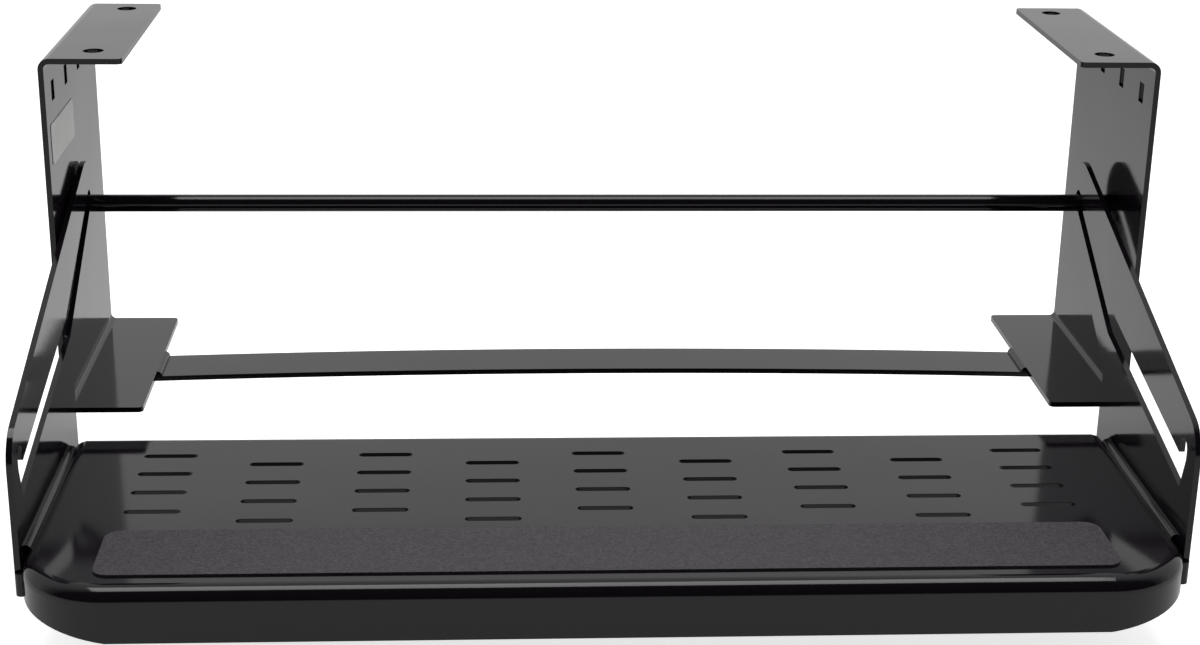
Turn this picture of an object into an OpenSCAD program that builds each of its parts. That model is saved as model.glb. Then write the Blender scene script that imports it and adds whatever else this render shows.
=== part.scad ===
// Slide-out entry step for a caravan door.
// Two bent sheet brackets bolt under the floor and carry a round rod. The step
// hangs on the rod by two slotted arms, which bear on the brackets' lower
// flanges. To stow it, the step is lifted and pushed back along the slots.
// X runs to the right, Y to the back (under the floor) and Z up. The origin is
// the centre of the four bolt holes, on the face that meets the floor.
// The side view of an arm is drawn in (Y, Z) points, with the rod's axis fixed.

/* [Brackets] */
// Overall width over the two brackets
bracket_span = 600; // [580:5:800]
// Front to back length of each bracket
bracket_depth = 150; // [144:1:220]
// Height over both flanges of a bracket
bracket_height = 200; // [190:1:220]
// Width of each flange, from the outer face of the plate
flange_width = 44; // [38:1:70]
// Thickness of the brackets' sheet
bracket_sheet = 3; // [2:0.5:4]
// Inside radius of the two bends
bend_radius = 3; // [1:0.5:6]
// Radius of the flanges' free corners
flange_corner = 3; // [0.5:0.5:10]

/* [Floor bolts] */
// Diameter of the bolt holes
bolt_hole = 11; // [6:0.5:14]
// Bolt holes' distance from the outer face of the bracket
bolt_inset = 26; // [18:1:36]
// Front holes' distance from the bracket's front edge
bolt_front = 20; // [12:1:26]
// Distance between the front and the rear holes
bolt_pitch = 115; // [80:1:121]

/* [Windows in the bracket plates] */
// Number of windows in each plate
window_count = 3; // [1:1:3]
// Front to back width of a window
window_width = 8; // [4:0.5:14]
// Height of a window
window_height = 11; // [6:0.5:16]
// Top of the windows, below the floor face
window_top = 16; // [10:1:24]
// First window's front side, from the bracket's front edge
window_front = 17; // [8:1:30]
// Distance from one window to the next
window_pitch = 37.5; // [20:0.5:40]

/* [Blank sticker] */
// Length of the sticker on the left plate
sticker_length = 64; // [30:1:90]
// Height of the sticker
sticker_height = 22; // [12:1:30]
// Radius of its corners
sticker_corner = 2; // [0.5:0.5:5]
// Top of the sticker, below the floor face
sticker_top = 38; // [30:1:50]
// Front side of the sticker, from the bracket's front edge
sticker_front = 8; // [4:1:20]

/* [Rod] */
// Diameter of the rod
rod_diameter = 10; // [8:0.5:12]
// Rod's distance behind the bracket's front edge
rod_back = 76; // [72:1:82]
// Rod's distance below the floor face
rod_drop = 101; // [98:1:104]
// Height of each spread end, set into the plate
rod_end_spread = 1.5; // [0.8:0.1:1.8]

/* [Cross strap] */
// Front to back width of the strap
strap_width = 34; // [20:1:60]
// Strap's front edge, behind the bracket's front edge
strap_front = 56; // [20:1:80]
// Thickness of the strap
strap_sheet = 3; // [2:0.5:5]
// Rise of the strap's middle
strap_rise = 3.5; // [1:0.5:8]
// Length of each flat end, under a flange
strap_lap = 32; // [15:1:34]

/* [Arms] */
// Thickness of the arms
arm_sheet = 3; // [2:0.5:4]
// Side gap between an arm and its bracket, with the step in the middle
arm_play = 5.5; // [4.5:0.5:8]
// How far the step sits to one side in that gap
step_side = -4; // [-4:0.5:4]
// Radius of the arm's rounded nose round the rod
nose_radius = 22; // [18:0.5:24]
// How far the nose's centre lies above the slot's middle line
nose_lift = 3; // [0:0.5:4]
// Slope of the arm's top edge, in degrees
arm_top_slope = 18; // [16:0.5:20]
// Slope of the arm's underside, in degrees
arm_under_slope = 34; // [32:0.5:38]
// Radius of the arm's front corner
arm_corner = 20; // [5:1:26]
// How far the arms reach in front of the brackets
arm_reach = 160; // [158:1:164]
// How far the arms' feet reach below the tread's top
arm_foot = 21; // [19:1:25]
// Cut at the rear corner of each foot
foot_cut = 8; // [2:1:12]
// Gap between the arms and the lower flanges at rest
rest_gap = 0.5; // [0.3:0.1:1]

/* [Slots in the arms] */
// Width of the slot at the rod
slot_width = 11; // [11:0.5:13]
// Length of the slot above the rod at rest
slot_end_play = 3; // [1:0.5:5]
// Slope of the upper stretch, in degrees
slot_slope = 29.5; // [29:0.5:30.5]
// Opening angle of the upper stretch's walls, each side
slot_flare = 1.5; // [0.5:0.5:2]
// Length of the upper stretch, from the rod to the bend
slot_run = 95; // [92:1:98]
// Slope of the lower stretch, in degrees
track_slope = 13; // [11:0.5:15]
// Width of the lower stretch
track_width = 15; // [14:0.5:16]
// Width of the notch that holds the stowed step
notch_width = 11; // [11:0.5:12]
// Notch's middle, behind the arm's front edge
notch_inset = 18.5; // [17:0.5:21]
// Height of the notch above the track's upper wall
notch_height = 10; // [8:0.5:12]

/* [Tread] */
// Top of the tread, below the floor face
tread_drop = 211; // [209:1:214]
// Front to back depth of the tread
tread_depth = 190; // [186:1:192]
// Gap between the tread and the brackets' front edges
tread_gap = 7.5; // [5:0.5:10]
// Thickness of the tread's sheet
tread_sheet = 2.5; // [1.5:0.5:3]
// Outer radius of the pressed edges
edge_roll = 8; // [5:0.5:10]
// Radius of the front corners, seen from above
corner_radius = 45; // [42:1:50]
// Depth of the front lip
lip_depth = 28; // [25:1:30]
// Depth of the lip's ends, at the arms
lip_end_depth = 20; // [14:1:21]
// Depth of the folds along the sides and the rear
fold_depth = 14; // [12:0.5:16]
// Size of the relief at each rear corner
corner_relief = 7; // [4:0.5:10]

/* [Drain slots] */
// Number of columns across the tread
drain_columns = 9; // [3:2:9]
// Number of slots in each column
drain_rows = 4; // [1:1:4]
// Length of a slot
drain_length = 29; // [16:1:40]
// Width of a slot
drain_width = 5; // [3:0.5:8]
// Distance from one column to the next
drain_column_pitch = 58; // [52:0.5:62]
// Distance from one slot to the next in a column
drain_row_pitch = 24; // [18:0.5:24]
// Distance from the tread's rear edge to the first slot
drain_start = 29; // [24:1:30]

/* [Grip tape] */
// Length of the tape
tape_length = 502; // [300:1:520]
// Width of the tape
tape_width = 50; // [25:1:52]
// Tape's front edge, behind the front of the lip
tape_front = 15; // [13:1:18]
// Thickness of the tape
tape_thickness = 1; // [0.6:0.1:2]
// Radius of its corners
tape_corner = 8; // [2:1:14]

/* [Welds] */
// Size of the weld beads at the arms
arm_bead = 3; // [2:0.5:4]
// Size of the weld beads at the strap
strap_bead = 3; // [2:0.5:3]
// Bare length left at each end of the beads along the tread
bead_margin = 6; // [3:1:20]

/* [Hidden] */
$fn = 64;
paint = "#1d1d20";
steel = "#2b2b2e";
tape_grey = "#453f47";
silver = "#c9c9c6";
rod_clearance = 0.05;
sticker_thickness = 0.3;
cut = 1;

// Brackets
half_span = bracket_span / 2;
front_y = -(bolt_front + bolt_pitch / 2);
rear_y = front_y + bracket_depth;
bend_outer = bend_radius + bracket_sheet;
plate_inner = half_span - bracket_sheet;
flange_inner = half_span - flange_width;

// Rod, in (Y, Z)
rod_radius = rod_diameter / 2;
rod = [front_y + rod_back, -rod_drop];
rod_end_flare = rod_end_spread;

// Arms, in (Y, Z)
arm_inner = plate_inner - arm_play - arm_sheet;
arm_front = front_y - arm_reach;
arm_rear = front_y - rest_gap;
foot_z = -(tread_drop + arm_foot);
nose = along(rod, slot_slope + 90, nose_lift);
top_touch = along(nose, arm_top_slope + 90, nose_radius);
under_touch = along(nose, arm_under_slope - 90, nose_radius);
corner_centre = meet(
    along(top_touch, arm_top_slope - 90, arm_corner), arm_top_slope,
    [arm_front + arm_corner, 0], 90);
corner_top = along(corner_centre, arm_top_slope + 90, arm_corner);
rear_bend = meet(under_touch, arm_under_slope, [arm_rear, 0], 90);

// Slot, in (Y, Z): walls are straight lines given by a point and a slope
slot_radius = slot_width / 2;
slot_top = along(rod, slot_slope, slot_end_play);
slot_bend = along(rod, slot_slope, -slot_run);
upper_slope = slot_slope - slot_flare;
lower_slope = slot_slope + slot_flare;
upper_start = along(slot_top, upper_slope + 90, slot_radius);
lower_start = along(slot_top, lower_slope - 90, slot_radius);
track_upper = along(slot_bend, track_slope + 90, track_width / 2);
track_lower = along(slot_bend, track_slope - 90, track_width / 2);
upper_bend = meet(upper_start, upper_slope, track_upper, track_slope);
lower_bend = meet(lower_start, lower_slope, track_lower, track_slope);
notch_radius = notch_width / 2;
notch_y = arm_front + notch_inset;
tooth = meet(track_upper, track_slope, [notch_y + notch_radius, 0], 90);
notch_top = tooth[1] + notch_height - notch_radius;
notch_heel = tooth[1];
toe = meet(track_lower, track_slope, [notch_y, 0], 90);

// Tread
tread_half = arm_inner;
tread_top = -tread_drop;
tread_rear = front_y - tread_gap;
tread_front = tread_rear - tread_depth;
inner_roll = edge_roll - tread_sheet;
corner_x = tread_half - corner_radius;
corner_y = tread_front + corner_radius;
side_length = tread_rear - corner_relief - corner_y;
lip_rise = atan((lip_depth - lip_end_depth) / corner_radius);

// Strap
strap_half = flange_inner + strap_lap;
strap_top = -bracket_height;
bow_steps = 24;
bow_end_slope = atan(2 * strap_rise / flange_inner);

// The point a distance d from p, in the direction of angle a
function along(p, a, d) = [p[0] + d * cos(a), p[1] + d * sin(a)];

// Where the line through p with slope a meets the line through q with slope b
function meet(p, a, q, b) = along(p, a,
    ((q[0] - p[0]) * sin(b) - (q[1] - p[1]) * cos(b)) / sin(b - a));

// Turns a drawing in (Y, Z) upright and gives it a thickness from x
module side_plate(x, thickness) {
    translate([x, 0, 0])
        rotate([90, 0, 90])
            linear_extrude(thickness)
                children();
}

// A quarter of a bend in sheet, its outer corner at the origin
module bend(outer, sheet) {
    translate([-outer, -outer])
        intersection() {
            difference() {
                circle(outer);
                circle(outer - sheet);
            }
            square(outer);
        }
}

// A rectangle with round corners, its corner at the origin
module rounded_rectangle(w, h, r) {
    translate([r, 0])
        square([w - 2 * r, h]);
    translate([0, r])
        square([w, h - 2 * r]);
    for (x = [r, w - r], y = [r, h - r])
        translate([x, y])
            circle(r);
}

// Cross-section of the right bracket, in (X, Z)
module bracket_section() {
    straight = flange_width - bend_outer;
    translate([plate_inner, -bracket_height + bend_outer])
        square([bracket_sheet, bracket_height - 2 * bend_outer]);
    for (z = [-bracket_sheet, -bracket_height])
        translate([flange_inner, z])
            square([straight, bracket_sheet]);
    translate([half_span, 0])
        bend(bend_outer, bracket_sheet);
    translate([half_span, -bracket_height])
        mirror([0, 1])
            bend(bend_outer, bracket_sheet);
}

// Cuts the free corners of both flanges round
module flange_outline() {
    translate([flange_inner, front_y, -bracket_height - cut])
        linear_extrude(bracket_height + 2 * cut)
            intersection() {
                rounded_rectangle(2 * flange_width, bracket_depth, flange_corner);
                square([flange_width + cut, bracket_depth]);
            }
}

module bolt_holes() {
    for (y = [-bolt_pitch / 2, bolt_pitch / 2])
        translate([half_span - bolt_inset, y, -bracket_sheet - cut])
            cylinder(d = bolt_hole, h = bracket_sheet + 2 * cut);
}

module plate_windows() {
    for (i = [0 : window_count - 1])
        translate([plate_inner - cut, front_y + window_front + i * window_pitch,
                -window_top - window_height])
            cube([bracket_sheet + 2 * cut, window_width, window_height]);
}

// The rod's seat: a round hole, opened at the outer face for the spread end
module rod_seat() {
    translate([0, rod[0], rod[1]])
        rotate([0, 90, 0])
            rod_shape(half_span + cut, rod_radius + rod_clearance, cut);
}

// Half a rod along Z, from the middle to its spread end
module rod_shape(length, radius, past_end) {
    cylinder(r = radius, h = length);
    translate([0, 0, length - past_end - rod_end_spread])
        cylinder(r1 = radius, r2 = radius + rod_end_flare, h = rod_end_spread);
    if (past_end > 0)
        translate([0, 0, length - past_end])
            cylinder(r = radius + rod_end_flare, h = past_end);
}

module bracket() {
    color(paint)
        difference() {
            intersection() {
                translate([0, rear_y, 0])
                    rotate([90, 0, 0])
                        linear_extrude(bracket_depth)
                            bracket_section();
                flange_outline();
            }
            bolt_holes();
            plate_windows();
            rod_seat();
        }
}

module right_bracket() {
    bracket();
}

module left_bracket() {
    mirror([1, 0, 0])
        bracket();
}

// Stands on the inner face of the left plate, with nothing printed on it
module sticker() {
    color(silver)
        translate([0, front_y + sticker_front, -sticker_top - sticker_height])
            side_plate(-plate_inner, sticker_thickness)
                rounded_rectangle(sticker_length, sticker_height, sticker_corner);
}

module cross_rod() {
    color(steel)
        translate([0, rod[0], rod[1]])
            for (side = [0, 1])
                mirror([side, 0, 0])
                    rotate([0, 90, 0])
                        rod_shape(half_span, rod_radius, 0);
}

// Height of the strap's bow at a share t of the way from the middle to a flange
function bow(t) = strap_rise * (1 - t * t);

// Side view of the strap in (X, Z): flat ends and a shallow bow between them
module strap_profile() {
    steps = [for (i = [-bow_steps : 2 : bow_steps]) i / bow_steps];
    polygon(concat(
        [[-strap_half, -strap_sheet], [-strap_half, 0]],
        [for (t = steps) [t * flange_inner, bow(t)]],
        [[strap_half, 0], [strap_half, -strap_sheet]],
        [for (t = steps) [-t * flange_inner, bow(t) - strap_sheet]]
    ));
}

module cross_strap() {
    color(paint)
        translate([0, front_y + strap_front + strap_width, strap_top])
            rotate([90, 0, 0])
                linear_extrude(strap_width)
                    strap_profile();
}

// A fillet bead between a flange's inner edge and the top of the strap
module strap_weld() {
    color(steel)
        translate([flange_inner, front_y + strap_front + strap_width, strap_top])
            rotate([90, 0, 0])
                linear_extrude(strap_width)
                    difference() {
                        intersection() {
                            circle(strap_bead);
                            translate([-strap_bead, 0])
                                square(strap_bead);
                        }
                        rotate(-bow_end_slope)
                            translate([-2 * strap_bead, -strap_bead])
                                square([2 * strap_bead, strap_bead]);
                    }
}

module strap_weld_right() {
    strap_weld();
}

module strap_weld_left() {
    mirror([1, 0, 0])
        strap_weld();
}

// Outline of an arm in (Y, Z): round nose, straight flanks, round front corner
module arm_outline() {
    translate(nose)
        circle(nose_radius);
    translate(corner_centre)
        circle(arm_corner);
    polygon([
        nose,
        top_touch,
        corner_top,
        corner_centre,
        [arm_front, corner_centre[1]],
        [arm_front, foot_z],
        [arm_rear - foot_cut, foot_z],
        [arm_rear, foot_z + foot_cut],
        rear_bend,
        under_touch
    ]);
}

// The rod's way through an arm: slot, track and the notch at its front end
module arm_slot() {
    translate(slot_top)
        circle(slot_radius);
    translate([notch_y, notch_top])
        circle(notch_radius);
    polygon([
        slot_top,
        upper_start,
        upper_bend,
        tooth,
        [notch_y + notch_radius, notch_top],
        [notch_y - notch_radius, notch_top],
        [notch_y - notch_radius, notch_heel],
        toe,
        lower_bend,
        lower_start
    ]);
}

// An arm with its inner face on x = 0 and its thickness towards +X
module arm() {
    color(paint)
        side_plate(0, arm_sheet)
            difference() {
                arm_outline();
                arm_slot();
            }
}

module right_arm() {
    translate([step_side + arm_inner, 0, 0])
        arm();
}

module left_arm() {
    translate([step_side - arm_inner - arm_sheet, 0, 0])
        arm();
}

// Cross-section of a pressed edge: outwards is +X, the tread's top is Y = 0
module edge_section(depth) {
    bend(edge_roll, tread_sheet);
    translate([-tread_sheet, -depth])
        square([tread_sheet, depth - edge_roll]);
}

// A straight pressed edge along Y, its outer side towards +X
module edge_run(length, depth) {
    rotate([90, 0, 0])
        linear_extrude(length, center = true)
            edge_section(depth);
}

// The flat top of the tread, inside the pressed edges
module tread_plan() {
    flat_half = tread_half - edge_roll;
    flat_front = tread_front + edge_roll;
    flat_rear = tread_rear - edge_roll;
    flat_corner = corner_radius - edge_roll;
    translate([-flat_half, corner_y])
        square([2 * flat_half, flat_rear - corner_y]);
    translate([-corner_x, flat_front])
        square([2 * corner_x, corner_y - flat_front]);
    for (side = [-1, 1])
        translate([side * corner_x, corner_y])
            circle(flat_corner);
}

module drain_slots() {
    straight = drain_length - drain_width;
    middle = (drain_columns - 1) / 2;
    for (column = [0 : drain_columns - 1], row = [0 : drain_rows - 1])
        translate([(column - middle) * drain_column_pitch,
                tread_rear - drain_start - row * drain_row_pitch
                - (column % 2) * drain_row_pitch / 2]) {
            square([straight, drain_width], center = true);
            for (end = [-straight / 2, straight / 2])
                translate([end, 0])
                    circle(d = drain_width, $fn = 24);
        }
}

// The front corner of the pan: the lip turns in to the arm and grows shallower
module tread_corner() {
    difference() {
        translate([corner_x, corner_y, 0])
            rotate([0, 0, -90])
                rotate_extrude(angle = 90)
                    translate([corner_radius, 0])
                        edge_section(lip_depth);
        translate([corner_x, tread_front - cut, -lip_depth])
            rotate([0, -lip_rise, 0])
                translate([0, 0, -2 * lip_depth])
                    cube([2 * corner_radius, 2 * corner_radius, 2 * lip_depth]);
        translate([corner_x, arm_front, -2 * lip_depth])
            cube([corner_radius + cut, corner_radius, 2 * lip_depth - fold_depth]);
    }
}

// The two relief cuts where the side folds meet the rear fold
module rear_reliefs() {
    for (side = [-1, 1])
        translate([side * tread_half, tread_rear, 0])
            cube([2 * corner_relief, 2 * corner_relief, 3 * lip_depth], center = true);
}

module tread_pan() {
    linear_extrude(tread_sheet)
        difference() {
            tread_plan();
            drain_slots();
        }
    translate([0, 0, tread_sheet]) {
        translate([0, tread_front, 0])
            rotate([0, 0, -90])
                edge_run(2 * corner_x, lip_depth);
        translate([0, tread_rear, 0])
            rotate([0, 0, 90])
                edge_run(2 * (tread_half - corner_relief), fold_depth);
        for (side = [0, 1])
            mirror([side, 0, 0]) {
                tread_corner();
                translate([tread_half, corner_y + side_length / 2, 0])
                    edge_run(side_length, fold_depth);
            }
    }
}

module tread() {
    color(paint)
        translate([step_side, 0, tread_top - tread_sheet])
            difference() {
                tread_pan();
                rear_reliefs();
            }
}

module grip_tape() {
    color(tape_grey)
        translate([step_side - tape_length / 2, tread_front + tape_front, tread_top])
            linear_extrude(tape_thickness)
                rounded_rectangle(tape_length, tape_width, tape_corner);
}

// A bead in the groove between the tread's pressed side and the arm
module tread_weld() {
    length = side_length - 2 * bead_margin;
    color(steel)
        translate([arm_inner, corner_y + side_length - bead_margin, tread_top])
            rotate([90, 0, 0])
                linear_extrude(length)
                    difference() {
                        intersection() {
                            translate([0, -arm_bead])
                                circle(arm_bead);
                            translate([-arm_bead, -edge_roll])
                                square([arm_bead, edge_roll]);
                        }
                        translate([-edge_roll, -edge_roll])
                            circle(edge_roll);
                    }
}

module tread_weld_right() {
    translate([step_side, 0, 0])
        tread_weld();
}

module tread_weld_left() {
    translate([step_side, 0, 0])
        mirror([1, 0, 0])
            tread_weld();
}

// An upright bead between the end of the lip and the arm's front edge
module lip_weld() {
    color(steel)
        translate([0, 0, tread_top - lip_end_depth])
            linear_extrude(lip_end_depth - edge_roll)
                difference() {
                    translate([arm_inner, arm_front])
                        circle(arm_bead);
                    translate([arm_inner - 2 * arm_bead, arm_front])
                        square([4 * arm_bead, 2 * arm_bead]);
                    translate([corner_x, corner_y])
                        circle(corner_radius);
                }
}

module lip_weld_right() {
    translate([step_side, 0, 0])
        lip_weld();
}

module lip_weld_left() {
    translate([step_side, 0, 0])
        mirror([1, 0, 0])
            lip_weld();
}

left_bracket();
right_bracket();
sticker();
cross_rod();
cross_strap();
strap_weld_left();
strap_weld_right();
left_arm();
right_arm();
tread();
grip_tape();
tread_weld_left();
tread_weld_right();
lip_weld_left();
lip_weld_right();
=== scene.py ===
"""Looks of a caravan entry step: gloss black paint, grit tape, welds, floor, light and camera.
Lengths are in metres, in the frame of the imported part."""
import math

import bpy
from mathutils import Matrix, Vector

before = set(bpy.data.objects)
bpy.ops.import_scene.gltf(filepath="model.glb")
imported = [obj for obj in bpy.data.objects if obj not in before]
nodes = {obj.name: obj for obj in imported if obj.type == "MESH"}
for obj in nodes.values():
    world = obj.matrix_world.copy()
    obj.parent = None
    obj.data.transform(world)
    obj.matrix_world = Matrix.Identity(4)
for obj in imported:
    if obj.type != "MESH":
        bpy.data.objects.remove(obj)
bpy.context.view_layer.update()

# Camera, fitted to the photograph with the part's own sizes held
PHOTO_WIDTH = 1200
FOCAL_PIXELS = 2115.3
SENSOR_MM = 36.0
CAMERA_AT = Vector((-0.0687, -1.1825, 0.2455))
PITCH_DOWN = math.radians(19.56)
ROLL = math.radians(-0.96)
YAW = math.radians(-3.46)

# Paint: sizes of the noises are in waves per metre, heights in metres
ENAMEL = (0.0055, 0.004, 0.006, 1)
ENAMEL_ROUGHNESS = 0.09
ENAMEL_IOR = 1.4
WAVE_SCALE = 9
WAVE_STRENGTH = 0.35
WAVE_HEIGHT = 0.002
PEEL_SCALE = 900
PEEL_HEIGHT = 0.00004
SHEET_PEEL = 0.25
WELD_PEEL = 0.6

# Grit tape
GRAIN_SCALE = 750
GRAIN_HEIGHT = 0.0008
GRAIN_DARK = (0.006, 0.0045, 0.0065, 1)
GRAIN_LIGHT = (0.085, 0.068, 0.088, 1)
GRAIN_DARK_TO = 0.35
GRAIN_LIGHT_FROM = 0.75
TAPE_ROUGHNESS = 0.6

# Blank sticker
FILM_SCALE = 60
FILM_DARK = (0.5, 0.5, 0.49, 1)
FILM_LIGHT = (0.62, 0.62, 0.61, 1)
FILM_ROUGHNESS = 0.35

# Floor: the lifts brighten it for the camera and in reflections, and never light the object
FLOOR_Z = -0.27
FLOOR_SIZE = 60.0
FLOOR_COLOUR = (0.8, 0.8, 0.8, 1)
CAMERA_LIFT = 0.75
GLOSSY_LIFT = 0.1

# Light: the surroundings are dark in front, behind the camera, and bright at the back
FRONT_Y = -0.35
BACK_Y = 0.1
FRONT_STRENGTH = 0.03
BACK_STRENGTH = 1.0
LAMP_AT = Vector((0.0, -0.2, 1.6))
LAMP_AIM = Vector((0.0, -0.1, 0.0))
LAMP_WIDTH = 1.6
LAMP_DEPTH = 1.0
LAMP_WATTS = 22

SHEET_PARTS = ("left_bracket", "right_bracket", "cross_strap", "left_arm", "right_arm", "tread", "cross_rod")


def make_camera():
    data = bpy.data.cameras.new("camera")
    data.sensor_width = SENSOR_MM
    data.lens = FOCAL_PIXELS * SENSOR_MM / PHOTO_WIDTH
    data.clip_start = 0.05
    data.clip_end = 100
    camera = bpy.data.objects.new("camera", data)
    bpy.context.scene.collection.objects.link(camera)
    turn = (Matrix.Rotation(YAW, 3, "Z") @ Matrix.Rotation(-PITCH_DOWN, 3, "X")
            @ Matrix.Rotation(ROLL, 3, "Y"))
    look_forward = Matrix.Rotation(math.radians(90), 3, "X")
    camera.matrix_world = Matrix.Translation(CAMERA_AT) @ (turn @ look_forward).to_4x4()
    bpy.context.scene.camera = camera


class Shader:
    """A small helper that wires nodes into one material."""

    def __init__(self, name):
        self.material = bpy.data.materials.new(name)
        self.material.use_nodes = True
        self.tree = self.material.node_tree
        self.tree.nodes.clear()
        self.output = self.tree.nodes.new("ShaderNodeOutputMaterial")

    def node(self, kind, settings=None, **inputs):
        made = self.tree.nodes.new(kind)
        for key, value in (settings or {}).items():
            setattr(made, key, value)
        for key, value in inputs.items():
            self.feed(made.inputs[key.replace("_", " ")], value)
        return made

    def feed(self, socket, value):
        if isinstance(value, bpy.types.NodeSocket):
            self.tree.links.new(value, socket)
        else:
            socket.default_value = value

    def math(self, operation, *values):
        made = self.node("ShaderNodeMath", {"operation": operation})
        for socket, value in zip(made.inputs, values):
            self.feed(socket, value)
        return made.outputs[0]

    def noise(self, scale, detail=2.0, roughness=0.5):
        place = self.node("ShaderNodeTexCoord").outputs["Object"]
        made = self.node("ShaderNodeTexNoise", Vector=place, Scale=scale, Detail=detail,
                         Roughness=roughness)
        return made.outputs["Fac"]

    def ramp(self, share, dark, light, dark_to=0.0, light_from=1.0):
        made = self.node("ShaderNodeValToRGB", Fac=share)
        low, high = made.color_ramp.elements
        low.position = dark_to
        low.color = dark
        high.position = light_from
        high.color = light
        return made.outputs["Color"]

    def bump(self, height, strength, distance, normal=None):
        made = self.node("ShaderNodeBump", Height=height, Strength=strength, Distance=distance)
        if normal is not None:
            self.feed(made.inputs["Normal"], normal)
        return made.outputs["Normal"]

    def finish(self, surface):
        self.tree.links.new(surface, self.output.inputs["Surface"])
        return self.material


def gloss_paint(name, peel):
    """Black enamel with a faint orange peel and slow waves, as on rolled sheet."""
    shader = Shader(name)
    peel_noise = shader.noise(PEEL_SCALE)
    waves = shader.noise(WAVE_SCALE, detail=1)
    normal = shader.bump(waves, WAVE_STRENGTH, WAVE_HEIGHT)
    normal = shader.bump(peel_noise, peel, PEEL_HEIGHT, normal)
    surface = shader.node("ShaderNodeBsdfPrincipled", Base_Color=ENAMEL, Roughness=ENAMEL_ROUGHNESS,
                          IOR=ENAMEL_IOR, Normal=normal)
    return shader.finish(surface.outputs["BSDF"])


def grit(name):
    """Coarse mineral grains, charcoal with a purple cast."""
    shader = Shader(name)
    grains = shader.noise(GRAIN_SCALE, detail=4, roughness=0.75)
    colour = shader.ramp(grains, GRAIN_DARK, GRAIN_LIGHT, GRAIN_DARK_TO, GRAIN_LIGHT_FROM)
    normal = shader.bump(grains, 1.0, GRAIN_HEIGHT)
    surface = shader.node("ShaderNodeBsdfPrincipled", Base_Color=colour, Roughness=TAPE_ROUGHNESS,
                          Normal=normal)
    return shader.finish(surface.outputs["BSDF"])


def pale_film(name):
    """A silvery film, a little uneven, with nothing printed on it."""
    shader = Shader(name)
    colour = shader.ramp(shader.noise(FILM_SCALE, detail=3), FILM_DARK, FILM_LIGHT)
    surface = shader.node("ShaderNodeBsdfPrincipled", Base_Color=colour, Roughness=FILM_ROUGHNESS)
    return shader.finish(surface.outputs["BSDF"])


def dress(node, material):
    for slot in nodes[node].material_slots:
        slot.material = material


def make_floor():
    floor = bpy.data.meshes.new("floor")
    h = FLOOR_SIZE / 2
    corners = [(-h, -h, FLOOR_Z), (h, -h, FLOOR_Z), (h, h, FLOOR_Z), (-h, h, FLOOR_Z)]
    floor.from_pydata(corners, [], [(0, 1, 2, 3)])
    piece = bpy.data.objects.new("floor", floor)
    bpy.context.scene.collection.objects.link(piece)
    shader = Shader("floor")
    rays = shader.node("ShaderNodeLightPath").outputs
    reflected = shader.math("MAXIMUM", rays["Is Glossy Ray"], rays["Is Transmission Ray"])
    direct = shader.math("MULTIPLY", rays["Is Camera Ray"], CAMERA_LIFT)
    lift = shader.math("MULTIPLY_ADD", reflected, GLOSSY_LIFT, direct)
    glow = shader.node("ShaderNodeEmission", Color=(1, 1, 1, 1), Strength=lift)
    plain = shader.node("ShaderNodeBsdfDiffuse", Color=FLOOR_COLOUR)
    both = shader.node("ShaderNodeAddShader")
    shader.feed(both.inputs[0], glow.outputs[0])
    shader.feed(both.inputs[1], plain.outputs[0])
    floor.materials.append(shader.finish(both.outputs[0]))


def make_surroundings():
    world = bpy.data.worlds.new("surroundings")
    bpy.context.scene.world = world
    world.use_nodes = True
    tree = world.node_tree
    tree.nodes.clear()
    where = tree.nodes.new("ShaderNodeTexCoord")
    split = tree.nodes.new("ShaderNodeSeparateXYZ")
    strength = tree.nodes.new("ShaderNodeMapRange")
    strength.inputs["From Min"].default_value = FRONT_Y
    strength.inputs["From Max"].default_value = BACK_Y
    strength.inputs["To Min"].default_value = FRONT_STRENGTH
    strength.inputs["To Max"].default_value = BACK_STRENGTH
    back = tree.nodes.new("ShaderNodeBackground")
    out = tree.nodes.new("ShaderNodeOutputWorld")
    tree.links.new(where.outputs["Generated"], split.inputs[0])
    tree.links.new(split.outputs["Y"], strength.inputs["Value"])
    tree.links.new(strength.outputs["Result"], back.inputs["Strength"])
    tree.links.new(back.outputs[0], out.inputs[0])


def make_lamp():
    """One large soft lamp overhead."""
    data = bpy.data.lights.new("overhead", "AREA")
    data.shape = "RECTANGLE"
    data.size = LAMP_WIDTH
    data.size_y = LAMP_DEPTH
    data.energy = LAMP_WATTS
    lamp = bpy.data.objects.new("overhead", data)
    bpy.context.scene.collection.objects.link(lamp)
    lamp.location = LAMP_AT
    lamp.rotation_euler = (LAMP_AIM - LAMP_AT).to_track_quat("-Z", "Y").to_euler()


make_camera()
sheet_paint = gloss_paint("black_enamel", SHEET_PEEL)
for name in SHEET_PARTS:
    dress(name, sheet_paint)
weld_paint = gloss_paint("weld_enamel", WELD_PEEL)
for name in nodes:
    if "weld" in name:
        dress(name, weld_paint)
dress("grip_tape", grit("grit_tape"))
dress("sticker", pale_film("pale_film"))
make_floor()
make_surroundings()
make_lamp()
bpy.context.scene.view_settings.view_transform = "Standard"
